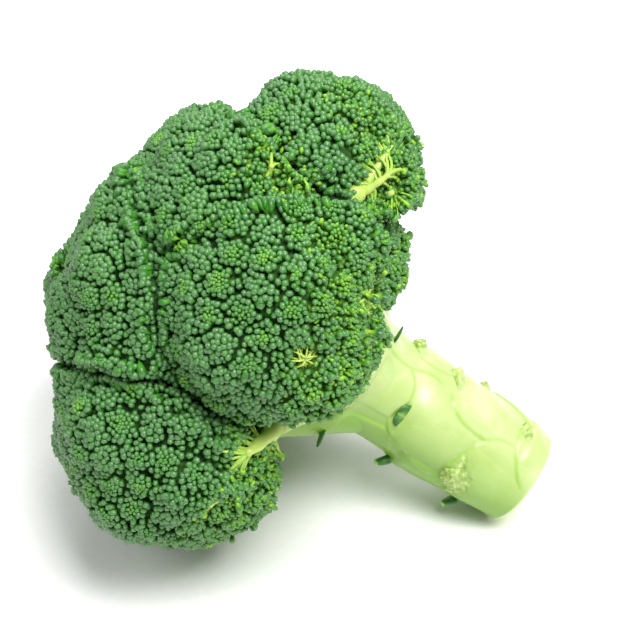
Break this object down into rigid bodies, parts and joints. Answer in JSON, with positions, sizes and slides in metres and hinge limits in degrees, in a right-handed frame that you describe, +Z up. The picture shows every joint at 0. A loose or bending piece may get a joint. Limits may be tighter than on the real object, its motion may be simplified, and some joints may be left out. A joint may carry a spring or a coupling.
{
  "type": "broccoli head",
  "caption": "Head of broccoli lying on its side: a pale stalk with leaf scars divides into branches that carry a domed crown of green bud clusters.",
  "frame": {"origin": "centre of the bounding box at the level of the table that the head lies on", "axes": "+Z up from the table; +X towards the cut end of the stalk, the longest extent; the stalk's axis is in the XZ plane and rises from its cut end at 35 degrees towards -X"},
  "size_m": [0.1597, 0.151, 0.1452],
  "materials": {
    "stalk_skin": "smooth waxy pale green plant skin",
    "flower_buds": "dense bud clusters, blue-green wax bloom over green",
    "leaf_blade": "satin dark green leaf"
  },
  "bodies": {
    "root": {"stalk": "stalk_skin", "floret_front": "flower_buds", "floret_lower_left": "flower_buds", "floret_table_side": "flower_buds", "floret_table_back": "flower_buds", "floret_back": "flower_buds", "floret_back_right": "flower_buds", "floret_upper_right": "flower_buds", "floret_top_left": "flower_buds", "floret_top_right": "flower_buds", "floret_top_back": "flower_buds", "floret_top_table": "flower_buds", "floret_small_right": "flower_buds", "leaf_axil": "leaf_blade", "leaf_edge": "leaf_blade", "leaf_end": "leaf_blade", "leaf_hanging": "leaf_blade", "leaf_slender": "leaf_blade"}
  },
  "joints": []
}
